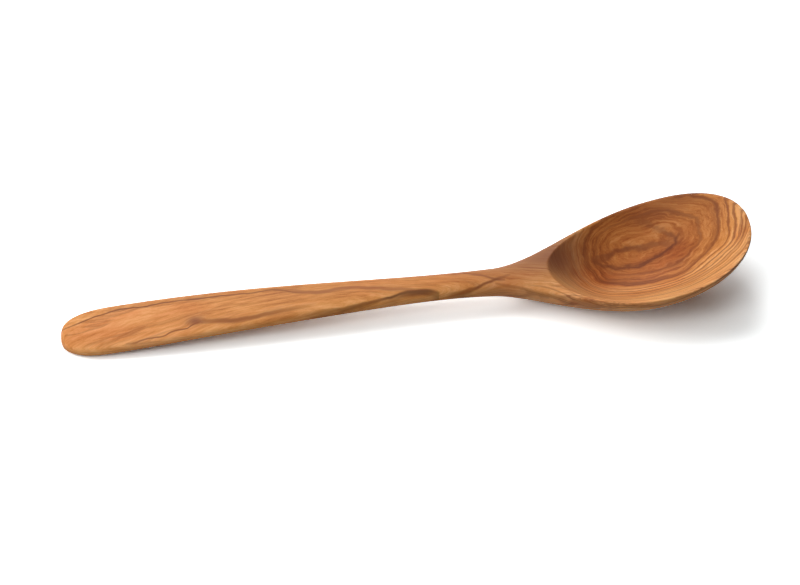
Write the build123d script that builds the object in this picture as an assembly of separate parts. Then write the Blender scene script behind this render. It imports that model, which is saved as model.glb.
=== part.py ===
from build123d import *
import os

import numpy as np

# A cook's spoon, carved from one board of olive wood: a broad flat handle end, a slim oval neck
# and an egg-shaped bowl. It lies as it is put down on a table: the handle end and the belly of the
# bowl touch the table, at height zero, and the neck arches clear of it. X runs from the handle end
# to the tip of the bowl, Y across and Z up, with the origin under the middle of the spoon. A station
# along the spoon is a share of its length, counted from the handle end. Lengths are in millimetres.

# Plan view
length = 300.0
handle_width = 27.3
neck_width = 13.1
bowl_width = 62.0
handle_share = 0.079
neck_share = 0.632
bowl_share = 0.874
handle_roundness = 2.6
tip_roundness = 2.24
flare_lean = 0.82

# Side view: the line where the sides are steepest, and the underside, as heights above the table
side_shares = (0.0, 0.2, 0.433, 0.6, 0.717, 0.85, 1.0)
side_heights = (1.8, 7.2, 10.8, 12.0, 14.5, 21.0, 33.6)
belly_share = 0.8
arch_shares = (0.0, 0.033, 0.2, 0.4, 0.583, 0.683, belly_share)
arch_heights = (0.1, 0.05, 4.6, 6.8, 7.4, 2.8, 0.0)
belly_turn = 1.85
belly_bluntness = 0.84

# Thickness above the side line, down to the thin rim, and the noses that close the two ends
handle_crown = 2.4
neck_crown = 4.0
rim_crown = 0.8
flat_share = 0.88
rim_thickness = 1.5
handle_nose = 2.4
tip_nose = 0.8
end_flat = 0.1

# How full the section is, from 0 for a lens with sharp sides to 1 for a slab with round ones
full_shares = (0.0, 0.2, 0.55, 0.683, 0.8, 1.0)
upper_fullness_shares = (0.75, 0.62, 0.60, 0.45, 0.40, 0.40)
under_fullness_shares = (0.72, 0.60, 0.62, 0.55, 0.23, 0.29)

# Hollow of the bowl
rim_width = 1.3
hollow_share = 0.708
hollow_roundness = 1.85
floor_thickness = 4.6
floor_steepness = 2.0
overrun_steepness = 2.0
hollow_end = 1.2
gouge_reach_share = 0.6
gouge_overrun = 9.0

# Counts of the sections that the lofts run through
handle_section_count = 22
bowl_section_count = 26
gouge_section_count = 16


def spline(shares, values, share):
    """A natural cubic spline through a few named values."""
    gap = np.diff(shares)
    slope = np.diff(values) / gap
    count = len(shares)
    system = np.eye(count)
    bend = np.zeros(count)
    for i in range(1, count - 1):
        system[i, i - 1:i + 2] = gap[i - 1], 2 * (gap[i - 1] + gap[i]), gap[i]
        bend[i] = 6 * (slope[i] - slope[i - 1])
    bend = np.linalg.solve(system, bend)
    i = int(np.clip(np.searchsorted(shares, share) - 1, 0, count - 2))
    step = share - shares[i]
    rise = slope[i] - gap[i] * (2 * bend[i] + bend[i + 1]) / 6
    twist = (bend[i + 1] - bend[i]) / (6 * gap[i])
    return float(values[i] + rise * step + bend[i] / 2 * step**2 + twist * step**3)


def swing(share, first, last, lean=1.0):
    """A smooth step from 0 at the first share to 1 at the last."""
    step = np.clip((share - first) / (last - first), 0, 1)
    return float(np.sin(np.pi / 2 * step**lean) ** 2)


def cap(step, roundness):
    """A rounded end: 0 at its point, and 1 and level one step further in."""
    return float((1 - (1 - np.clip(step, 0, 1)) ** roundness) ** (1 / roundness))


def half_width(share):
    """Half the width in plan: rounded handle end, taper to the neck, flare and egg-shaped tip."""
    if share < handle_share:
        return handle_width / 2 * cap(share / handle_share, handle_roundness)
    if share < neck_share:
        step = swing(share, handle_share, neck_share)
        return (handle_width + (neck_width - handle_width) * step) / 2
    if share < bowl_share:
        step = swing(share, neck_share, bowl_share, flare_lean)
        return (neck_width + (bowl_width - neck_width) * step) / 2
    return bowl_width / 2 * cap((1 - share) / (1 - bowl_share), tip_roundness)


def side(share):
    """Height of the side line."""
    return spline(side_shares, side_heights, share)


def upturn(share, last):
    """How far the belly's line has risen, from 0 where it touches the table to 1 at its last share."""
    step = (share - belly_share) / (last - belly_share)
    if step > 1:
        return 1 + overrun_steepness * (step - 1)
    return 1 - (1 - step**belly_turn) ** belly_bluntness


def belly(share):
    """Height of the underside on the centre line: the arch, and then the bowl's belly."""
    if share < belly_share:
        return spline(arch_shares, arch_heights, share)
    return (side_heights[-1] - rim_thickness) * upturn(share, 1)


def crown(share):
    """Thickness above the side line: it grows up to the neck and sinks into the flat rim."""
    grown = handle_crown + (neck_crown - handle_crown) * min(share / neck_share, 1)
    return grown + (rim_crown - grown) * swing(share, neck_share, flat_share)


def nose(share):
    """Closes the section towards both ends, which rounds them in the side view."""
    return cap(share * length / handle_nose, 2) * cap((1 - share) * length / tip_nose, 2)


def fullness(share, shares):
    """How full one quarter of the section is at one station."""
    return float(np.interp(share, full_shares, shares))


def oval(width, height, full):
    """The side radius, the middle radius and the join angle of two arcs that make one quarter."""
    lean = 2 * np.arctan2(height, width)
    lowest = max(0, np.pi / 2 - lean)
    highest = min(np.pi / 2, np.pi - lean)
    join = lowest + (highest - lowest) * full
    across, up = np.cos(join), np.sin(join)
    side_radius = (height * across - width * (1 - up)) / (across + up - 1)
    middle_radius = (width * up - height * (1 - across)) / (across + up - 1)
    return side_radius, middle_radius, join


def quarter(share, width, height, full):
    """One quarter of the section: an arc at its side and one on to its middle, tangent to each other."""
    side_radius, middle_radius, join = oval(width, abs(height), full)

    def spot(radius, across, up, angle):
        rise = np.copysign(up + radius * np.sin(angle), height)
        return Vector((share - 1 / 2) * length, across + radius * np.cos(angle), side(share) + rise)

    around = [spot(side_radius, width - side_radius, 0, angle) for angle in (0, join / 2, join)]
    turns = (join, (join + np.pi / 2) / 2, np.pi / 2)
    over = [spot(middle_radius, 0, abs(height) - middle_radius, angle) for angle in turns]
    return [ThreePointArc(*around), ThreePointArc(*over)]


def section(share):
    """The outside at one station: an oval of arcs, which meet at the sides and on the centre line."""
    width = half_width(share)
    over = crown(share) * nose(share)
    under = (belly(share) - side(share)) * nose(share)
    upper = quarter(share, width, over, fullness(share, upper_fullness_shares))
    lower = quarter(share, width, under, fullness(share, under_fullness_shares))
    left = [arc.mirror(Plane.XZ) for arc in upper + lower]
    return Wire([*upper, left[1], left[0], left[2], left[3], lower[1], lower[0]])


def stations(span_share, count):
    """Distances from one end of the spoon to its neck, as shares that crowd at the end."""
    turn = np.arccos(1 - end_flat / length / span_share)
    return span_share * (1 - np.cos(np.linspace(turn, np.pi / 2, count)))


def carved_blank():
    """The spoon before its bowl is hollowed: two lofts that share the slimmest section of the neck.

    The handle curves so little that straight strips from section to section follow it. The bowl is
    one smooth loft.
    """
    handle = [section(share) for share in stations(neck_share, handle_section_count)]
    bowl = [section(1 - share) for share in stations(1 - neck_share, bowl_section_count)]
    return Solid.make_loft(handle, ruled=True) + Solid.make_loft(bowl)


def top(share, reach):
    """Height of the blank's upper side at a distance from the centre line."""
    width = half_width(share)
    over = crown(share) * nose(share)
    side_radius, middle_radius, join = oval(width, over, fullness(share, upper_fullness_shares))
    if reach < middle_radius * np.cos(join):
        return side(share) + over - middle_radius + float(np.sqrt(middle_radius**2 - reach**2))
    return side(share) + float(np.sqrt(side_radius**2 - (reach - width + side_radius) ** 2))


def hollow_half_width(share):
    """Half the width of the hollow: blunt towards the neck, then inside the rim as far as the tip."""
    widest = bowl_width / 2 - rim_width
    tip_share = 1 - rim_width / length
    if share < bowl_share:
        return widest * cap((share - hollow_share) / (bowl_share - hollow_share), hollow_roundness)
    return widest * cap((tip_share - share) / (tip_share - bowl_share), tip_roundness)


def hollow_floor(share):
    """Height of the hollow on the centre line: steeply down from the neck, then up along the belly."""
    if share < belly_share:
        step = (belly_share - share) / (belly_share - hollow_share)
        return floor_thickness + (top(hollow_share, 0) - floor_thickness) * step**floor_steepness
    tip_share = 1 - rim_width / length
    return floor_thickness + (side(tip_share) - floor_thickness) * upturn(share, tip_share)


def gouge_section(share):
    """A parabola that meets the blank's top at the hollow's edge, closed far above the spoon."""
    inner_share = hollow_end / length
    inside = float(np.clip(share, hollow_share + inner_share, 1 - (rim_width + hollow_end) / length))
    edge = hollow_half_width(inside)
    reach = bowl_width * gouge_reach_share
    low = hollow_floor(share)
    high = low + (top(inside, edge) - hollow_floor(inside)) * (reach / edge) ** 2
    ceiling = side_heights[-1] + bowl_width
    x = (share - 1 / 2) * length
    left, right = Vector(x, -reach, high), Vector(x, reach, high)
    dish = Bezier(left, Vector(x, 0, 2 * low - high), right)
    lid = Polyline(right, Vector(x, reach, ceiling), Vector(x, -reach, ceiling), left)
    return Wire([dish, *lid.edges()])


def gouge():
    """The space that the carver's gouge clears: it runs out above the neck and beyond the tip."""
    overrun_share = gouge_overrun / length
    shares = np.linspace(hollow_share - overrun_share, 1 + overrun_share, gouge_section_count)
    return Solid.make_loft([gouge_section(share) for share in shares])


os.makedirs("parts", exist_ok=True)
spoon = carved_blank() - gouge()
spoon.label = "spoon"
export_step(spoon, "parts/spoon.step")
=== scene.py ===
import bpy
import numpy as np
from mathutils import Matrix, Vector


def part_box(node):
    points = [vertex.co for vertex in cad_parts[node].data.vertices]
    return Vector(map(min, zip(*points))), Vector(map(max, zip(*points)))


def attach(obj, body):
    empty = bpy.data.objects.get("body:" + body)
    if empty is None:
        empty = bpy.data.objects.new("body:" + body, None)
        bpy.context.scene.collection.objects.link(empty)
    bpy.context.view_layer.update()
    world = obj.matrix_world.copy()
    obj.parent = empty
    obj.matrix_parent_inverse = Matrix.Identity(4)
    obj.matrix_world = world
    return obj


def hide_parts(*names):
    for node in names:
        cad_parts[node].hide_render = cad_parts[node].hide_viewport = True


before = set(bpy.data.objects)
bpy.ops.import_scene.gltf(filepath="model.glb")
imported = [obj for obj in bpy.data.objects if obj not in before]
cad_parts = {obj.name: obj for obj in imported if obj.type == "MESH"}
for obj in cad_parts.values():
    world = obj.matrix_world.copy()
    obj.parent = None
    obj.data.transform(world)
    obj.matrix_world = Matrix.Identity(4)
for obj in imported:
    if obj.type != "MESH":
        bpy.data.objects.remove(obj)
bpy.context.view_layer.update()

# ---- Camera ----
# A short telephoto about 1.1 m away, looking down at 44 degrees on a spoon that lies on a table,
# handle to the left. The shift is the few pixels by which the spoon sits off the frame's centre.
camera_target = Vector((0, 0, 0.010))
camera_distance = 1.1193
camera_elevation, camera_azimuth, camera_roll = np.radians((44.05, -5.01, -1.69))
lens = bpy.data.cameras.new("camera")
lens.sensor_width = 36.0
lens.lens = 116.15
lens.shift_x, lens.shift_y = -0.0064, 0.0006
lens.clip_end = 20.0
camera = bpy.data.objects.new("camera", lens)
bpy.context.scene.collection.objects.link(camera)
turn = Matrix.Rotation(camera_azimuth, 4, "Z") @ Matrix.Rotation(np.pi / 2 - camera_elevation, 4, "X")
turn = turn @ Matrix.Rotation(camera_roll, 4, "Z")
camera.matrix_world = Matrix.Translation(camera_target + turn.col[2].xyz * camera_distance) @ turn
bpy.context.scene.camera = camera
bpy.context.scene.view_settings.view_transform = "Standard"


# ---- Spoon ----
# A cook's spoon, all one piece, carved from a board of olive wood: the outside is shaped with a
# drawknife and sanded, the bowl is hollowed with a gouge, and the whole is rubbed with oil. Nothing
# is fixed to it.

# Sizes in millimetres. A place along the spoon is a share of its length, from the handle end.
low_corner, high_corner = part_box("spoon")
length = (high_corner[0] - low_corner[0]) * 1000
bowl_width = (high_corner[1] - low_corner[1]) * 1000
handle_width, neck_width = 27.3, 13.1
handle_share, neck_share, belly_share, bowl_share = 0.079, 0.632, 0.8, 0.874
handle_roundness, tip_roundness, hollow_roundness, flare_lean = 2.6, 2.24, 1.85, 0.82
side_shares = (0.0, 0.2, 0.433, 0.6, 0.717, 0.85, 1.0)
side_heights = (1.8, 7.2, 10.8, 12.0, 14.5, 21.0, 33.6)
arch_shares = (0.0, 0.033, 0.2, 0.4, 0.583, 0.683, belly_share)
arch_heights = (0.1, 0.05, 4.6, 6.8, 7.4, 2.8, 0.0)
belly_turn, belly_bluntness, floor_steepness, overrun_steepness = 1.85, 0.84, 2.0, 2.0
handle_crown, neck_crown, rim_crown, flat_share = 2.4, 4.0, 0.8, 0.88
handle_nose, tip_nose = 2.4, 0.8
full_shares = (0.0, 0.2, 0.55, 0.683, 0.8, 1.0)
upper_fullness = (0.75, 0.62, 0.60, 0.45, 0.40, 0.40)
under_fullness = (0.72, 0.60, 0.62, 0.55, 0.23, 0.29)
rim_width, rim_thickness, hollow_share, hollow_end, floor_thickness = 1.3, 1.5, 0.708, 1.2, 4.6
rim_softness = 0.5

# The skin's grid: the distances between rings on the handle and in the bowl, and the columns of a
# quarter ring. Columns crowd at the edge of the hollow, and on the handle at half of its half width.
handle_step, bowl_step, step_change = 1.3, 0.5, 0.05
side_columns, top_columns, under_columns, outline_samples = 7, 52, 30, 40001
column_blend, column_limit, column_crowding = 0.2, 0.98, 1.25


def spline(shares, values, share):
    """A natural cubic spline through named values: a tridiagonal system gives its second slopes."""
    shares, values = np.array(shares), np.array(values)
    gap = np.diff(shares)
    slope = np.diff(values) / gap
    system = np.diag(np.r_[1.0, 2 * (gap[:-1] + gap[1:]), 1.0])
    system += np.diag(np.r_[0.0, gap[1:]], 1) + np.diag(np.r_[gap[:-1], 0.0], -1)
    bend = np.linalg.solve(system, np.r_[0.0, 6 * np.diff(slope), 0.0])
    i = np.clip(np.searchsorted(shares, share) - 1, 0, len(gap) - 1)
    step = share - shares[i]
    rise = slope[i] - gap[i] * (2 * bend[i] + bend[i + 1]) / 6
    twist = (bend[i + 1] - bend[i]) / (6 * gap[i])
    return values[i] + rise * step + bend[i] / 2 * step**2 + twist * step**3


def swing(share, first, last, lean=1.0):
    """A smooth step from 0 to 1: the square of the sine of a quarter turn, its start bent by lean."""
    step = np.clip((share - first) / (last - first), 0, 1)
    return np.sin(np.pi / 2 * step**lean) ** 2


def cap(step, roundness):
    """A quarter of a superellipse: 0 at its point, and 1 and level one step further in."""
    return (1 - (1 - np.clip(step, 0, 1)) ** roundness) ** (1 / roundness)


def half_width(share):
    """Superelliptic handle end, sine taper to the neck, sine flare to the bowl, superelliptic tip."""
    taper = handle_width + (neck_width - handle_width) * swing(share, handle_share, neck_share)
    flare = neck_width + (bowl_width - neck_width) * swing(share, neck_share, bowl_share, flare_lean)
    end = handle_width * cap(share / handle_share, handle_roundness)
    tip = bowl_width * cap((1 - share) / (1 - bowl_share), tip_roundness)
    zones = [share < handle_share, share < neck_share, share < bowl_share]
    return np.select(zones, [end, taper, flare], tip) / 2


def upturn(share, last):
    """The belly's rise: 0 where it rests on the table, 1 at its last share, and straight beyond."""
    step = np.clip((share - belly_share) / (last - belly_share), 0, None)
    inside = 1 - (1 - np.minimum(step, 1) ** belly_turn) ** belly_bluntness
    return inside + overrun_steepness * np.maximum(step - 1, 0)


def belly(share):
    """Height of the underside on the centre line: a spline for the arch, then the bowl's upturn."""
    arch = spline(arch_shares, arch_heights, np.minimum(share, belly_share))
    return np.where(share < belly_share, arch, (side_heights[-1] - rim_thickness) * upturn(share, 1))


def crown(share):
    """Thickness above the side line: straight growth to the neck, then a sine down to the rim."""
    grown = handle_crown + (neck_crown - handle_crown) * np.minimum(share / neck_share, 1)
    return grown + (rim_crown - grown) * swing(share, neck_share, flat_share)


def nose(share):
    """Two quarter circles that close the section in height towards the ends of the spoon."""
    return cap(share * length / handle_nose, 2) * cap((1 - share) * length / tip_nose, 2)


def oval(width, height, full):
    """Two tangent arcs from the side to the middle of a quarter: side radius, middle radius, join."""
    lean = 2 * np.arctan2(height, width)
    lowest = np.maximum(0, np.pi / 2 - lean)
    join = lowest + (np.minimum(np.pi / 2, np.pi - lean) - lowest) * full
    across, up = np.cos(join), np.sin(join)
    side_radius = (height * across - width * (1 - up)) / (across + up - 1)
    middle_radius = (width * up - height * (1 - across)) / (across + up - 1)
    return side_radius, middle_radius, join


def along_oval(width, height, full, reach):
    """Distance along the two arcs from the side to the place with that reach from the middle."""
    side_radius, middle_radius, join = oval(width, height, full)
    on_side = side_radius * np.arccos(np.clip((reach - width + side_radius) / side_radius, -1, 1))
    on_middle = middle_radius * (np.arccos(np.clip(reach / middle_radius, -1, 1)) - join)
    return np.where(reach > middle_radius * np.cos(join), on_side, side_radius * join + on_middle)


def on_oval(width, height, full, travel):
    """Reach and rise of the place at a distance along the two arcs from the side."""
    side_radius, middle_radius, join = oval(width, height, full)
    early = np.minimum(travel / side_radius, join)
    late = join + np.maximum(travel - side_radius * join, 0) / middle_radius
    on_side = early < join
    side_reach = width - side_radius + side_radius * np.cos(early)
    middle_rise = height - middle_radius + middle_radius * np.sin(late)
    reach = np.where(on_side, side_reach, middle_radius * np.cos(late))
    return reach, np.where(on_side, side_radius * np.sin(early), middle_rise)


def top(share, reach):
    """Height of the uncarved upper side: the side line and the rise of its arc at that reach."""
    width, over = half_width(share), crown(share) * nose(share)
    full = np.interp(share, full_shares, upper_fullness)
    rise = on_oval(width, over, full, along_oval(width, over, full, reach))[1]
    return spline(side_shares, side_heights, share) + rise


def hollow_half_width(share):
    """Two superellipses back to back: blunt towards the neck, inside the rim towards the tip."""
    widest, tip_share = bowl_width / 2 - rim_width, 1 - rim_width / length
    blunt = cap((share - hollow_share) / (bowl_share - hollow_share), hollow_roundness)
    round_tip = cap((tip_share - share) / (tip_share - bowl_share), tip_roundness)
    return widest * np.where(share < bowl_share, blunt, round_tip)


def hollow_floor(share):
    """Height of the hollow on the centre line: a parabola down from the neck, then the upturn."""
    start, tip_share = top(np.array([hollow_share]), 0.0), 1 - rim_width / length
    step = (belly_share - share) / (belly_share - hollow_share)
    end = spline(side_shares, side_heights, tip_share)
    rising = (end - floor_thickness) * upturn(share, tip_share)
    return floor_thickness + np.where(step > 0, (start - floor_thickness) * step**floor_steepness, rising)


def gouge(share, reach):
    """Height of the gouge's cut: a parabola across that meets the uncarved top at the hollow's edge."""
    inside = np.clip(share, hollow_share + hollow_end / length, 1 - (rim_width + hollow_end) / length)
    edge = hollow_half_width(inside)
    return hollow_floor(share) + (top(inside, edge) - hollow_floor(inside)) * (reach / edge) ** 2


def spoon_rows():
    """Shares of the rings: equal steps along the outline in plan, shorter ones in the bowl."""
    share = (1 - np.cos(np.linspace(0, np.pi, outline_samples))) / 2
    run = np.hypot(np.diff(share) * length, np.diff(half_width(share)))
    step = handle_step + (bowl_step - handle_step) * swing(share[1:], neck_share - step_change, hollow_share)
    walked = np.r_[0, np.cumsum(run / step)]
    return np.interp(np.linspace(0, walked[-1], int(walked[-1]))[1:-1], walked, share)


def spoon_skin():
    """The closed skin on a grid of rings (along) and columns (around).

    Each ring goes up one side, over the top and down the other side. Half of its top is an oval of
    two arcs from the side to the middle, lowered to the gouge's cut where that is deeper, with the
    edge between them softened by a quadratic blend. Half of its underside is a deeper oval. Besides
    the points and faces it gives each point's distance from the thin side, in millimetres.
    """
    share = spoon_rows()[:, None]
    width, rows = half_width(share), len(share)
    middle = spline(side_shares, side_heights, share)
    over, under = crown(share) * nose(share), (middle - belly(share)) * nose(share)
    full = np.interp(share, full_shares, upper_fullness)
    hollow, half = hollow_half_width(share), width / 2
    wider = (hollow + half + np.sqrt((hollow - half) ** 2 + (width * column_blend) ** 2)) / 2
    edge = np.minimum(wider, width * column_limit)
    first = along_oval(width, over, full, edge)
    whole = along_oval(width, over, full, 0 * width)
    outer = np.linspace(0, 1, side_columns + 1)[None, :]
    inner = np.linspace(0, 1, top_columns + 1)[None, 1:] ** column_crowding
    travel = np.hstack([first * outer, first + (whole - first) * inner])
    reach, rise = on_oval(width, over, full, travel)
    uncarved, cut = middle + rise, gouge(share, reach)
    blend = np.maximum(rim_softness - np.abs(uncarved - cut), 0) / rim_softness
    height = np.minimum(uncarved, cut) - rim_softness / 4 * blend**2
    deep_full = np.interp(share, full_shares, under_fullness)
    deep_whole = along_oval(width, under, deep_full, 0 * width)
    deep_travel = deep_whole * np.linspace(0, 1, under_columns + 1)[None, 1:]
    deep_reach, drop = on_oval(width, under, deep_full, deep_travel)
    from_side = np.hstack([travel, travel[:, -2::-1], deep_travel, deep_travel[:, -2::-1]])
    around = [-reach, reach[:, -2::-1], deep_reach, -deep_reach[:, -2::-1]]
    heights = [height, height[:, -2::-1], middle - drop, middle - drop[:, -2::-1]]
    y, z = np.hstack(around), np.hstack(heights)
    x = np.broadcast_to((share - 0.5) * length, y.shape)
    count = y.shape[1]
    ring, last = np.arange(count), (rows - 1) * count
    following = np.roll(ring, -1)
    near = (np.arange(rows - 1)[:, None] * count + ring).ravel()
    beside = (np.arange(rows - 1)[:, None] * count + following).ravel()
    quads = np.stack([near, near + count, beside + count, beside], 1)
    first_pole, last_pole = rows * count, rows * count + 1
    start = np.stack([np.full(count, first_pole), ring, following], 1)
    stop = np.stack([last + ring, np.full(count, last_pole), last + following], 1)
    ends = [[-length / 2, 0, side_heights[0]], [length / 2, 0, side_heights[-1]]]
    points = np.vstack([np.stack([x, y, z], 2).reshape(-1, 3), ends]) / 1000
    return points, quads.tolist() + start.tolist() + stop.tolist(), np.r_[from_side.ravel(), 0, 0]


def srgb(code):
    """The linear colour of an sRGB hex value: a straight toe, and a power of 2.4 above it."""
    part = np.array([int(code[i:i + 2], 16) for i in (1, 3, 5)]) / 255
    return (*np.where(part <= 0.04045, part / 12.92, ((part + 0.055) / 1.055) ** 2.4), 1.0)


def add(tree, kind, links=(), **settings):
    """One node, its own settings, and for each named input a value or the output that feeds it."""
    node = tree.nodes.new(kind)
    for name, value in settings.items():
        setattr(node, name, value)
    for key, value in dict(links).items():
        if isinstance(value, bpy.types.NodeSocket):
            tree.links.new(value, node.inputs[key])
        else:
            node.inputs[key].default_value = value
    return node


points, faces, from_side = spoon_skin()
mesh = bpy.data.meshes.new("carved_spoon")
mesh.from_pydata(points, [], faces)
mesh.polygons.foreach_set("use_smooth", np.ones(len(mesh.polygons), bool))
mesh.attributes.new("from_side", "FLOAT", "POINT").data.foreach_set("value", from_side)
mesh.update()
carved_spoon = bpy.data.objects.new("carved_spoon", mesh)
bpy.context.scene.collection.objects.link(carved_spoon)

# Olive wood, carved, sanded and oiled: orange-brown, with dark growth lines that run along the handle,
# wander round the log's pith and close into loops where the bowl cuts down to them. Its fibres are too
# fine to show and are drawn as bundles of 0.6 mm and less, in fine streaks. The rubbed-in oil leaves
# a satin sheen. Lengths are in millimetres, and a pitch is the number of cells in a millimetre.
oiled_olive_wood = bpy.data.materials.new("oiled_olive_wood")
oiled_olive_wood.use_nodes = True
wood = oiled_olive_wood.node_tree
wood.nodes.clear()
noise_mean = 0.5
place = add(wood, "ShaderNodeTexCoord").outputs["Object"]
place = add(wood, "ShaderNodeVectorMath", {0: place, "Scale": 1000.0}, operation="SCALE").outputs[0]
split = add(wood, "ShaderNodeSeparateXYZ", {0: place}).outputs
in_bowl = add(wood, "ShaderNodeMapRange", {"Value": split["X"], "From Min": 20.0, "From Max": 75.0},
              interpolation_type="SMOOTHSTEP").outputs[0]

# The rings are distances from the pith: a line deep under the far side of the spoon, whose place
# across bends with the square of the way along, and which climbs towards the bowl.
pith_across, pith_lean, pith_bend = 68.0, 0.1158, -0.001596
pith_depth, pith_climb = -113.2, 0.181
bend_y = add(wood, "ShaderNodeMath", {0: split["X"], 1: pith_bend, 2: pith_lean},
             operation="MULTIPLY_ADD").outputs[0]
pith_y = add(wood, "ShaderNodeMath", {0: split["X"], 1: bend_y, 2: pith_across},
             operation="MULTIPLY_ADD").outputs[0]
pith_z = add(wood, "ShaderNodeMath", {0: split["X"], 1: pith_climb, 2: pith_depth},
             operation="MULTIPLY_ADD").outputs[0]
off_y = add(wood, "ShaderNodeMath", {0: split["Y"], 1: pith_y}, operation="SUBTRACT").outputs[0]
off_z = add(wood, "ShaderNodeMath", {0: split["Z"], 1: pith_z}, operation="SUBTRACT").outputs[0]
off = add(wood, "ShaderNodeCombineXYZ", {"X": 0.0, "Y": off_y, "Z": off_z}).outputs[0]
ring = add(wood, "ShaderNodeVectorMath", {0: off}, operation="LENGTH").outputs["Value"]

# Waves in the rings: pitches along, across and up, height, and 1 if they run all over the spoon or 0
# if they stay in the bowl. Long waves are 60 mm long and 20 mm apart, and ripples 2.5 and 1.25 mm.
waves = {"long_wave": ((0.016, 0.05, 0.05), 2.2, 1.0), "bowl_wave": ((0.045, 0.09, 0.09), 3.2, 0.0),
         "short_wave": ((0.14, 0.22, 0.22), 0.9, 0.0), "ripple": ((0.4, 0.8, 0.8), 0.40, 0.0)}
for pitch, height, everywhere in waves.values():
    spot = add(wood, "ShaderNodeVectorMath", {0: place, 1: pitch}, operation="MULTIPLY").outputs[0]
    noise = add(wood, "ShaderNodeTexNoise", {"Vector": spot, "Scale": 1.0, "Detail": 2.0,
                "Roughness": 0.45}).outputs[0]
    noise = add(wood, "ShaderNodeMath", {0: noise, 1: noise_mean}, operation="SUBTRACT").outputs[0]
    part = add(wood, "ShaderNodeMath", {0: in_bowl, 1: everywhere}, operation="MAXIMUM").outputs[0]
    noise = add(wood, "ShaderNodeMath", {0: noise, 1: part}, operation="MULTIPLY").outputs[0]
    ring = add(wood, "ShaderNodeMath", {0: noise, 1: height, 2: ring}, operation="MULTIPLY_ADD").outputs[0]

# The tone of plain wood, between 0, dark, and 1, pale.
plain_tone = 0.475

# Knots, and pale or stained places, which all fade with distance: middle, reach, how far they move
# the rings, dark stain, and light. The pale places on the near side of the handle, the neck and the
# heel are painted light on sides that face away from the lamps, and the dark place on the hollow's
# wall by the neck is painted shade.
knots = {
    "small_top_knot": ((-124.5, 9.3, 6.4), (5, 2, 4), -0.8, 0.5, 0.0),
    "red_top_knot": ((-91.0, 8.7, 9.4), (5, 1.6, 4), -0.7, 0.6, 0.0),
    "brown_knot": ((-91.5, -4.8, 9.8), (4, 2.6, 4), 1.0, 1.3, 0.0),
    "neck_lens": ((5.0, -4.8, 14.0), (9, 2.0, 5), 1.2, 0.3, -0.25),
    "pale_end": ((-116.0, 5.0, 8.0), (20, 7, 6), 0.0, 0.0, 0.16),
    # Painted light: the near side of the neck, which faces away from the lamps, is made paler.
    "painted_light_neck_side": ((10.0, -5.0, 11.0), (55, 5, 7), 0.0, 0.0, 0.16),
    # Painted light: the near flank of the heel, which faces down and away from the lamps, is made paler.
    "painted_light_heel_flank": ((61.0, -15.0, 8.0), (22, 7, 6), 0.0, 0.0, 0.28),
    "red_band": ((-50.0, 4.5, 10.0), (15, 4, 5), 0.0, 0.25, -0.08),
    # Painted light: the near side of the handle, which faces away from the lamps, is made paler.
    "painted_light_handle_side": ((-80.0, -13.5, 5.0), (75, 4.5, 6), 0.0, 0.0, 0.20),
    "dark_flare": ((52.0, 6.0, 16.0), (22, 12, 12), 0.0, 1.0, 0.0),
    # Painted shade: the hollow's wall by the neck is darkened as if it were in the shade of the rim.
    "painted_shade_hollow_wall": ((70.0, 12.0, 12.0), (14, 17, 16), 0.0, 1.05, -0.06),
    "light_island": ((92.0, 19.5, 13.5), (11, 5.0, 8), -1.6, 0.0, 0.04),
    "second_island": ((116.5, 20.0, 16.5), (6, 2.2, 6), -1.0, 0.0, 0.16),
    "brown_turn": ((119.5, 13.0, 14.0), (6, 4.0, 5), 0.0, 0.6, 0.0),
    "red_patch": ((112.0, 27.0, 20.0), (14, 4.5, 8), 0.0, 0.6, -0.04),
}
stain_and_shade, gleam = 0.0, plain_tone
for middle, reach, swell, dark, light in knots.values():
    spot = add(wood, "ShaderNodeVectorMath", {0: place, 1: middle}, operation="SUBTRACT").outputs[0]
    spot = add(wood, "ShaderNodeVectorMath", {0: spot, 1: reach}, operation="DIVIDE").outputs[0]
    far = add(wood, "ShaderNodeVectorMath", {0: spot, 1: spot}, operation="DOT_PRODUCT").outputs["Value"]
    far = add(wood, "ShaderNodeMath", {0: far, 1: -1.0}, operation="MULTIPLY").outputs[0]
    near = add(wood, "ShaderNodeMath", {0: far}, operation="EXPONENT").outputs[0]
    ring = add(wood, "ShaderNodeMath", {0: near, 1: swell, 2: ring}, operation="MULTIPLY_ADD").outputs[0]
    stain_and_shade = add(wood, "ShaderNodeMath", {0: near, 1: dark, 2: stain_and_shade}, operation="MULTIPLY_ADD").outputs[0]
    gleam = add(wood, "ShaderNodeMath", {0: near, 1: light, 2: gleam}, operation="MULTIPLY_ADD").outputs[0]

# Growth bands change slowly along the grain: the noises below run over the ring and, far slower, over
# the length and the depth.
slow_pitch, slow_deep_pitch = 0.008, 0.012
slow_way = add(wood, "ShaderNodeMath", {0: split["X"], 1: slow_pitch}, operation="MULTIPLY").outputs[0]
slow_deep = add(wood, "ShaderNodeMath", {0: off_y, 1: slow_deep_pitch}, operation="MULTIPLY").outputs[0]

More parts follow.
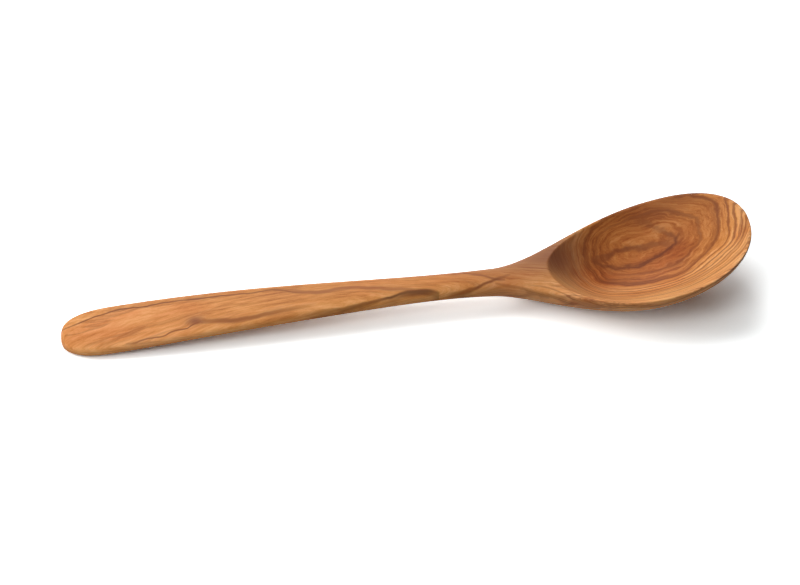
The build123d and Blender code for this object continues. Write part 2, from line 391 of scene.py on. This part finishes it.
# Tones: early and late wood in irregular bands 2.2 mm wide, calm along the handle and strong in the
# bowl, with bundles of fibres over them, 0.6 mm across the rings, 33 mm along and 4 mm deep. The
# rings farthest from the pith are paler in the bowl.
band_pitch, fibre_pitches, fibre_strength = 0.45, {"along": 0.030, "across": 1.7, "deep": 0.25}, 1.0
band = add(wood, "ShaderNodeMath", {0: ring, 1: band_pitch}, operation="MULTIPLY").outputs[0]
band = add(wood, "ShaderNodeCombineXYZ", {"X": band, "Y": slow_way, "Z": slow_deep}).outputs[0]
band = add(wood, "ShaderNodeTexNoise", {"Vector": band, "Scale": 1.0, "Detail": 5.0,
           "Roughness": 0.68}).outputs[0]
band = add(wood, "ShaderNodeMath", {0: band, 1: noise_mean}, operation="SUBTRACT").outputs[0]
vigour = add(wood, "ShaderNodeMapRange", {"Value": in_bowl, "To Min": 0.52, "To Max": 1.0}).outputs[0]
ways = []
for way, pitch in zip((split["X"], ring, off_y), fibre_pitches.values()):
    ways.append(add(wood, "ShaderNodeMath", {0: way, 1: pitch}, operation="MULTIPLY").outputs[0])
fibre = add(wood, "ShaderNodeCombineXYZ", dict(zip("XYZ", ways))).outputs[0]
fibre = add(wood, "ShaderNodeTexNoise", {"Vector": fibre, "Scale": 1.0, "Detail": 6.0,
            "Roughness": 0.80}).outputs[0]
fibre = add(wood, "ShaderNodeMath", {0: fibre, 1: noise_mean}, operation="SUBTRACT").outputs[0]
tone = add(wood, "ShaderNodeMath", {0: band, 1: vigour, 2: gleam}, operation="MULTIPLY_ADD").outputs[0]
tone = add(wood, "ShaderNodeMath", {0: fibre, 1: fibre_strength, 2: tone},
           operation="MULTIPLY_ADD").outputs[0]
sunny = add(wood, "ShaderNodeMapRange", {"Value": ring, "From Min": 121.0, "From Max": 127.0,
            "To Max": 0.18}).outputs[0]
sunny = add(wood, "ShaderNodeMath", {0: sunny, 1: in_bowl, 2: tone}, operation="MULTIPLY_ADD").outputs[0]
tones = add(wood, "ShaderNodeValToRGB", {"Fac": sunny})
shades = ((0.20, "#884C22"), (0.36, "#B06C36"), (0.50, "#CA8648"), (0.64, "#DA9B5F"), (0.82, "#E8B076"))
for i, (spot, code) in enumerate(shades):
    stop = tones.color_ramp.elements[i] if i < 2 else tones.color_ramp.elements.new(spot)
    stop.position, stop.color = spot, srgb(code)
colour = tones.outputs["Color"]

# Thin dark late-wood lines, 2.4 mm apart or more, where a slow noise of the ring crosses its middle.
# Patches 50 mm long and 17 mm wide fade them in and out.
late_pitch, late_shift, patch_pitch = 0.42, 17.0, (0.02, 0.06, 0.06)
late = add(wood, "ShaderNodeMath", {0: ring, 1: late_pitch, 2: late_shift},
           operation="MULTIPLY_ADD").outputs[0]
late = add(wood, "ShaderNodeCombineXYZ", {"X": late, "Y": slow_way, "Z": slow_deep}).outputs[0]
late = add(wood, "ShaderNodeTexNoise", {"Vector": late, "Scale": 1.0, "Detail": 4.0,
           "Roughness": 0.65}).outputs[0]
late = add(wood, "ShaderNodeMath", {0: late, 1: noise_mean}, operation="SUBTRACT").outputs[0]
late = add(wood, "ShaderNodeMath", {0: late}, operation="ABSOLUTE").outputs[0]
late = add(wood, "ShaderNodeMapRange", {"Value": late, "From Min": 0.004, "From Max": 0.040, "To Min": 1.0,
           "To Max": 0.0}, interpolation_type="SMOOTHSTEP").outputs[0]
patch = add(wood, "ShaderNodeVectorMath", {0: place, 1: patch_pitch}, operation="MULTIPLY").outputs[0]
patch = add(wood, "ShaderNodeTexNoise", {"Vector": patch, "Scale": 1.0, "Detail": 2.0}).outputs[0]
fade = add(wood, "ShaderNodeMapRange", {"Value": patch, "From Min": 0.38, "From Max": 0.62}).outputs[0]
depth = add(wood, "ShaderNodeMapRange", {"Value": ring, "From Min": 117.0, "From Max": 121.0, "To Min": 0.15,
            "To Max": 0.60}).outputs[0]
late = add(wood, "ShaderNodeMath", {0: late, 1: depth}, operation="MULTIPLY").outputs[0]
late = add(wood, "ShaderNodeMath", {0: late, 1: fade}, operation="MULTIPLY").outputs[0]
calm = add(wood, "ShaderNodeMapRange", {"Value": in_bowl, "To Min": 0.55, "To Max": 1.0}).outputs[0]
late = add(wood, "ShaderNodeMath", {0: late, 1: calm}, operation="MULTIPLY").outputs[0]
colour = add(wood, "ShaderNodeMix", {0: late, 6: colour, 7: srgb("#74421F")}, data_type="RGBA").outputs[2]

# Wider, darker lines, 4 mm apart or more, stand side by side on the near and right walls of the bowl.
wall_pitch = 0.24
wall = add(wood, "ShaderNodeTexNoise", {"W": ring, "Scale": wall_pitch, "Detail": 2.5, "Roughness": 0.6},
           noise_dimensions="1D").outputs[0]
wall = add(wood, "ShaderNodeMath", {0: wall, 1: noise_mean}, operation="SUBTRACT").outputs[0]
wall = add(wood, "ShaderNodeMath", {0: wall}, operation="ABSOLUTE").outputs[0]
wall = add(wood, "ShaderNodeMapRange", {"Value": wall, "From Min": 0.008, "From Max": 0.055, "To Min": 1.0,
           "To Max": 0.0}, interpolation_type="SMOOTHSTEP").outputs[0]
outer = add(wood, "ShaderNodeMapRange", {"Value": ring, "From Min": 119.0, "From Max": 124.0,
            "To Max": 0.7}).outputs[0]
wall = add(wood, "ShaderNodeMath", {0: wall, 1: outer}, operation="MULTIPLY").outputs[0]
wall = add(wood, "ShaderNodeMath", {0: wall, 1: in_bowl}, operation="MULTIPLY").outputs[0]
right = add(wood, "ShaderNodeMapRange", {"Value": split["X"], "From Min": 75.0, "From Max": 105.0,
            "To Min": 0.3}).outputs[0]
wall = add(wood, "ShaderNodeMath", {0: wall, 1: right}, operation="MULTIPLY").outputs[0]
colour = add(wood, "ShaderNodeMix", {0: wall, 6: colour, 7: srgb("#7E4520")}, data_type="RGBA").outputs[2]

# Single dark rings round the middle of the bowl: distance from the pith, half width, darkness. A line
# is full as far as a share of its half width, and the fibres break it up.
dark_rings = {"first_ring": (118.1, 0.45, 0.55), "second_ring": (121.3, 0.45, 0.65),
              "third_ring": (123.5, 0.40, 0.80), "fourth_ring": (125.3, 0.30, 0.50),
              "fifth_ring": (127.5, 0.50, 0.90), "sixth_ring": (129.8, 0.35, 0.60)}
full_middle, fibre_break, unbroken = 0.15, 1.3, 0.8
broken = add(wood, "ShaderNodeMath", {0: fibre, 1: fibre_break, 2: unbroken},
             operation="MULTIPLY_ADD").outputs[0]
for distance, half_wide, dark in dark_rings.values():
    line = add(wood, "ShaderNodeMath", {0: ring, 1: distance}, operation="SUBTRACT").outputs[0]
    line = add(wood, "ShaderNodeMath", {0: line}, operation="ABSOLUTE").outputs[0]
    line = add(wood, "ShaderNodeMapRange", {"Value": line, "From Min": half_wide * full_middle,
               "From Max": half_wide, "To Min": dark, "To Max": 0.0},
               interpolation_type="SMOOTHSTEP").outputs[0]
    line = add(wood, "ShaderNodeMath", {0: line, 1: in_bowl}, operation="MULTIPLY").outputs[0]
    line = add(wood, "ShaderNodeMath", {0: line, 1: right}, operation="MULTIPLY").outputs[0]
    line = add(wood, "ShaderNodeMath", {0: line, 1: broken}, operation="MULTIPLY", use_clamp=True).outputs[0]
    colour = add(wood, "ShaderNodeMix", {0: line, 6: colour, 7: srgb("#743E24")}, data_type="RGBA").outputs[2]

# Strong lines that cross the rings' pattern, each through places (along, across, darkness) on the
# spoon's upper side, with its half width and colour.
strong_lines = {
    "top_line": (0.75, "#5E3014", ((-150, 2.2, 0.6), (-143, 4.3, 0.8), (-137, 6.4, 1.0),
        (-131, 8.0, 1.0), (-124, 9.3, 1.0), (-115, 8.9, 1.0), (-104, 9.0, 1.0), (-97, 9.2, 0.8),
        (-91, 8.7, 1.0), (-80, 8.2, 0.9), (-67, 7.4, 0.8), (-56, 7.0, 0.8), (-47, 3.6, 0.6),
        (-42, 2.6, 0.0))),
    "wavy_line": (0.7, "#64341A", ((-122, -12.0, 0.0), (-112, -11.2, 0.8), (-106, -10.7, 0.9),
        (-101, -9.0, 1.0), (-96, -8.9, 0.9), (-93, -7.0, 0.9), (-89, -6.0, 0.0))),
    "low_streak": (2.0, "#764019", ((-96, -5.6, 0.0), (-91, -5.9, 0.5), (-83, -6.9, 0.8),
        (-74, -7.9, 0.9), (-61, -6.9, 0.8), (-53, -6.0, 0.7), (-46, -5.7, 0.4), (-38, -5.0, 0.0))),
    "neck_band": (1.9, "#8C5230", ((-56, 6.0, 0.0), (-49, 5.0, 0.5), (-43, 2.9, 0.8), (-37, 1.4, 0.9),
        (-26, 2.2, 0.8), (-14, 0.3, 0.8), (-2, -2.2, 0.7), (5, -4.2, 0.5), (10, -5.4, 0.0))),
    "neck_low_line": (1.1, "#5E3A18", ((-46, -9.6, 0.0), (-36, -9.2, 0.4), (-28, -8.5, 0.6),
        (-21, -7.6, 0.8), (-12, -6.7, 0.9), (-6, -5.6, 1.0), (2, -4.1, 1.0), (8, -4.4, 1.0),
        (12, -5.2, 0.7), (15, -6.2, 0.0))),
    "lens_fill": (1.7, "#5A3512", ((-12, -7.4, 0.0), (-5, -6.5, 0.5), (1, -5.4, 0.8), (8, -5.5, 0.9),
        (12, -6.1, 0.7), (15, -6.6, 0.0))),
    "fork_far": (1.0, "#8E5632", ((18, 6.0, 0.0), (25, 4.1, 0.6), (31, 1.6, 0.8), (36, -1.0, 0.9),
        (40, -2.8, 0.8), (44, -3.6, 0.0))),
    "fork_near": (1.1, "#7C4A24", ((17, -7.0, 0.0), (23, -6.6, 0.7), (29, -5.8, 0.9), (34, -4.2, 1.0),
        (40, -2.6, 0.8), (46, -1.6, 0.0))),
    "red_line": (0.5, "#8E4A2A", ((49, 3.2, 0.0), (53, 2.1, 0.9), (57, 0.5, 0.9), (61, -0.6, 0.8),
        (65, -1.2, 0.0))),
    "shoulder_line": (0.7, "#7C4623", ((38, -4.4, 0.0), (43, -5.8, 0.5), (49, -8.3, 0.5),
        (57, -11.9, 0.55), (65, -15.9, 0.5), (72, -18.6, 0.0))),
    "heel_line": (0.7, "#7C4623", ((52, -8.0, 0.0), (58, -9.7, 0.5), (64, -13.3, 0.65),
        (71, -18.8, 0.65), (78, -22.3, 0.5), (84, -25.0, 0.0))),
    "heel_streak": (0.9, "#7E4824", ((62, -10.5, 0.0), (67, -12.6, 0.4), (73, -18.6, 0.4),
        (79, -22.5, 0.35), (86, -25.8, 0.3), (92, -28.0, 0.0))),
    "side_streak": (0.6, "#8A5230", ((66, -14.5, 0.0), (71, -17.0, 0.3), (83, -24.4, 0.35),
        (95, -28.6, 0.3), (102, -30.0, 0.0))),
    "brown_ring_near": (1.6, "#724026", ((83, 12.8, 0.0), (86, 10.6, 0.6), (94, 7.9, 0.8),
        (103, 6.9, 0.9), (114, 8.9, 1.0), (119, 11.2, 1.0), (122, 14.0, 0.6), (124, 16.5, 0.0))),
    "brown_ring_far": (2.2, "#78462C", ((104, 24.8, 0.0), (110, 22.8, 0.4), (115, 19.8, 0.5),
        (119, 16.0, 0.7), (122, 13.0, 0.0))),
    "bowl_streak": (2.1, "#7C462A", ((84, 12.4, 0.0), (90, 13.1, 0.7), (98, 15.1, 0.9), (110, 14.7, 0.7),
        (114, 13.9, 0.6), (119, 12.8, 0.0))),
}

# A noise with cells of 9 mm sways the lines across, and in the bowl a finer one frays them. A line's
# curves run over the spoon's length, and its place across may be as far as the reach to either side.
sway_pitch, sway_reach = (0.11, 0.11, 0.11), 2.4
fray_pitch, fray_reach = (0.25, 0.4, 0.4), 4.5
curve_length, curve_reach = 300.0, 40.0
along = add(wood, "ShaderNodeMapRange", {"Value": split["X"], "From Min": -curve_length / 2,
            "From Max": curve_length / 2}).outputs[0]
sway = add(wood, "ShaderNodeVectorMath", {0: place, 1: sway_pitch}, operation="MULTIPLY").outputs[0]
sway = add(wood, "ShaderNodeTexNoise", {"Vector": sway, "Scale": 1.0, "Detail": 2.0}).outputs[0]
sway = add(wood, "ShaderNodeMath", {0: sway, 1: sway_reach, 2: split["Y"]},
           operation="MULTIPLY_ADD").outputs[0]
fray = add(wood, "ShaderNodeVectorMath", {0: place, 1: fray_pitch}, operation="MULTIPLY").outputs[0]
fray = add(wood, "ShaderNodeTexNoise", {"Vector": fray, "Scale": 1.0, "Detail": 3.0}).outputs[0]
fray = add(wood, "ShaderNodeMath", {0: fray, 1: noise_mean}, operation="SUBTRACT").outputs[0]
deep_in = add(wood, "ShaderNodeMapRange", {"Value": split["X"], "From Min": 74.0,
              "From Max": 86.0}).outputs[0]
fray = add(wood, "ShaderNodeMath", {0: fray, 1: deep_in}, operation="MULTIPLY").outputs[0]
sway = add(wood, "ShaderNodeMath", {0: fray, 1: fray_reach, 2: sway}, operation="MULTIPLY_ADD").outputs[0]
for half_wide, code, places in strong_lines.values():
    across = add(wood, "ShaderNodeFloatCurve", {"Value": along})
    darkness = add(wood, "ShaderNodeFloatCurve", {"Value": along})
    shares = [x / curve_length + 0.5 for x, y, d in places]
    reaches = [(y + curve_reach) / (curve_reach * 2) for x, y, d in places]
    darks = [d for x, y, d in places]
    for curve, values in ((across, reaches), (darkness, darks)):
        spots = curve.mapping.curves[0].points
        spots[0].location, spots[1].location = (shares[0], values[0]), (shares[-1], values[-1])
        for share, value in zip(shares[1:-1], values[1:-1]):
            spots.new(share, value)
        curve.mapping.update()
    line = add(wood, "ShaderNodeMath", {0: across.outputs[0], 1: curve_reach * 2,
               2: sway_reach * noise_mean - curve_reach}, operation="MULTIPLY_ADD").outputs[0]
    line = add(wood, "ShaderNodeMath", {0: sway, 1: line}, operation="SUBTRACT").outputs[0]
    line = add(wood, "ShaderNodeMath", {0: line}, operation="ABSOLUTE").outputs[0]
    line = add(wood, "ShaderNodeMapRange", {"Value": line, "From Min": half_wide * full_middle,
               "From Max": half_wide, "To Min": 1.0, "To Max": 0.0},
               interpolation_type="SMOOTHSTEP").outputs[0]
    line = add(wood, "ShaderNodeMath", {0: line, 1: darkness.outputs[0]}, operation="MULTIPLY").outputs[0]
    line = add(wood, "ShaderNodeMath", {0: line, 1: broken}, operation="MULTIPLY", use_clamp=True).outputs[0]
    colour = add(wood, "ShaderNodeMix", {0: line, 6: colour, 7: srgb(code)}, data_type="RGBA").outputs[2]

# Heartwood: the rings nearest the pith, in the middle of the bowl, are darker and browner.
heart = add(wood, "ShaderNodeMapRange", {"Value": ring, "From Min": 117.0, "From Max": 127.0, "To Min": 0.62,
            "To Max": 0.0}, interpolation_type="SMOOTHSTEP").outputs[0]
colour = add(wood, "ShaderNodeMix", {0: heart, 6: colour, 7: srgb("#D0B8A4")}, data_type="RGBA",
             blend_type="MULTIPLY").outputs[2]

# Dark brown stain in and round the knots, with painted shade on the hollow's wall by the neck, and
# slow patches of redder wood.
stain_and_shade_strength = 0.6
stain_and_shade = add(wood, "ShaderNodeMath", {0: stain_and_shade, 1: stain_and_shade_strength}, operation="MULTIPLY",
            use_clamp=True).outputs[0]
colour = add(wood, "ShaderNodeMix", {0: stain_and_shade, 6: colour, 7: srgb("#7A4830")}, data_type="RGBA").outputs[2]
redder = add(wood, "ShaderNodeMapRange", {"Value": patch, "From Min": 0.45, "From Max": 0.70,
             "To Max": 0.5}).outputs[0]
colour = add(wood, "ShaderNodeMix", {0: redder, 6: colour, 7: srgb("#E8B8A0")}, data_type="RGBA",
             blend_type="MULTIPLY").outputs[2]

# Painted shade: the last millimetre of the skin before the sides is darker along the far side and
# round the tip of the bowl, where the rim's outer side is in shade.
edge = add(wood, "ShaderNodeAttribute", attribute_name="from_side", attribute_type="GEOMETRY").outputs["Fac"]
edge = add(wood, "ShaderNodeMapRange", {"Value": edge, "From Min": 0.25, "From Max": 1.0, "To Min": 0.85,
           "To Max": 0.0}, interpolation_type="SMOOTHSTEP").outputs[0]
shaded_edge_far = add(wood, "ShaderNodeMapRange", {"Value": split["Y"], "From Min": 0.0, "From Max": 8.0}).outputs[0]
shaded_edge_tip = add(wood, "ShaderNodeMapRange", {"Value": split["X"], "From Min": 122.0,
               "From Max": 140.0}).outputs[0]
shaded_edge_where = add(wood, "ShaderNodeMath", {0: shaded_edge_far, 1: shaded_edge_tip}, operation="MAXIMUM").outputs[0]
edge = add(wood, "ShaderNodeMath", {0: edge, 1: shaded_edge_where}, operation="MULTIPLY").outputs[0]
colour = add(wood, "ShaderNodeMix", {0: edge, 6: colour, 7: srgb("#5E3620")}, data_type="RGBA").outputs[2]

# Satin: the oil has sunk in, so the sheen is faint, and a little sharper on dense dark wood. The grain
# can just be felt: the palest wood stands about 0.05 mm above the darkest.
satin = add(wood, "ShaderNodeMapRange", {"Value": tone, "From Min": 0.2, "From Max": 0.8, "To Min": 0.40,
            "To Max": 0.52}).outputs[0]
grain = add(wood, "ShaderNodeBump", {"Height": tone, "Strength": 0.12, "Distance": 0.0004}).outputs[0]
shader = add(wood, "ShaderNodeBsdfPrincipled", {"Base Color": colour, "Roughness": satin, "Normal": grain,
             "IOR": 1.5, "Specular IOR Level": 0.1})
add(wood, "ShaderNodeOutputMaterial", {"Surface": shader.outputs[0]})
carved_spoon.data.materials.append(oiled_olive_wood)
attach(carved_spoon, "root")
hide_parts("spoon")


# ---- Floor and light ----
# A plain white sweep in a white room, under five soft round lamps. What looks at the floor, straight,
# in a gloss or through glass, sees it lifted to white with the spoon's shadow left, and glowing far
# out, up to the white of the room, so a low view has no horizon. Lengths are in metres.
floor_reach, glow_start, glow_full, near_glow, far_glow = 6, 0.4, 1.4, 0.02, 1.0
room_light, room_seen = 0.045, 1.0

# The floor as the light meets it, and as it is seen: more than white, a touch cool, as a linear colour.
unseen_paper, seen_paper = srgb("#B0B0B0"), (1.80, 1.86, 1.87, 1.0)

# Lamps: place, width and power in watts. They all face the origin, under the middle of the spoon.
lamps = {"overhead_lamp": ((-0.45, -0.1, 1.5), 1.8, 7.6), "left_lamp": ((-1.3, 0.3, 0.7), 0.7, 8.2),
         "back_lamp": ((-0.2, 1.3, 1.0), 0.9, 9.0), "high_back_lamp": ((-0.3, 0.7, 1.6), 1.0, 8.2),
         "front_left_lamp": ((-1.0, -0.8, 1.1), 0.9, 8.0)}


def looking(tree):
    """The largest of three flags: 1 for a ray that looks, straight, off a gloss or through glass."""
    ray = add(tree, "ShaderNodeLightPath").outputs
    seen = add(tree, "ShaderNodeMath", {0: ray["Is Camera Ray"], 1: ray["Is Glossy Ray"]},
               operation="MAXIMUM").outputs[0]
    return add(tree, "ShaderNodeMath", {0: seen, 1: ray["Is Transmission Ray"]},
               operation="MAXIMUM").outputs[0]


floor_mesh = bpy.data.meshes.new("floor")
corners = [(x * floor_reach, y * floor_reach, 0) for x, y in ((-1, -1), (1, -1), (1, 1), (-1, 1))]
floor_mesh.from_pydata(corners, [], [(0, 1, 2, 3)])
floor = bpy.data.objects.new("floor", floor_mesh)
bpy.context.scene.collection.objects.link(floor)
white_sweep = bpy.data.materials.new("white_sweep")
white_sweep.use_nodes = True
sweep = white_sweep.node_tree
sweep.nodes.clear()
seen = looking(sweep)
paper = add(sweep, "ShaderNodeMix", {0: seen, 6: unseen_paper, 7: seen_paper}, data_type="RGBA").outputs[2]
matt = add(sweep, "ShaderNodeBsdfDiffuse", {"Color": paper}).outputs[0]
spot = add(sweep, "ShaderNodeTexCoord").outputs["Object"]
away = add(sweep, "ShaderNodeVectorMath", {0: spot}, operation="LENGTH").outputs["Value"]
away = add(sweep, "ShaderNodeMapRange", {"Value": away, "From Min": glow_start, "From Max": glow_full,
           "To Min": near_glow, "To Max": far_glow}, interpolation_type="SMOOTHSTEP").outputs[0]
glow = add(sweep, "ShaderNodeMath", {0: seen, 1: away}, operation="MULTIPLY").outputs[0]
glow = add(sweep, "ShaderNodeEmission", {"Color": srgb("#FFFFFF"), "Strength": glow}).outputs[0]
both = add(sweep, "ShaderNodeAddShader", {0: matt, 1: glow}).outputs[0]
add(sweep, "ShaderNodeOutputMaterial", {"Surface": both})
floor_mesh.materials.append(white_sweep)

for name, (spot, across, power) in lamps.items():
    data = bpy.data.lights.new(name, "AREA")
    data.shape, data.size, data.energy = "DISK", across, power
    lamp = bpy.data.objects.new(name, data)
    lamp.matrix_world = Matrix.Translation(spot) @ Vector(spot).to_track_quat("Z", "Y").to_matrix().to_4x4()
    bpy.context.scene.collection.objects.link(lamp)

room = bpy.data.worlds.new("white_room")
room.use_nodes = True
air = room.node_tree
air.nodes.clear()
fill = add(air, "ShaderNodeMapRange", {"Value": looking(air), "To Min": room_light,
           "To Max": room_seen}).outputs[0]
white = add(air, "ShaderNodeBackground", {"Color": srgb("#FFFFFF"), "Strength": fill}).outputs[0]
add(air, "ShaderNodeOutputWorld", {"Surface": white})
bpy.context.scene.world = room
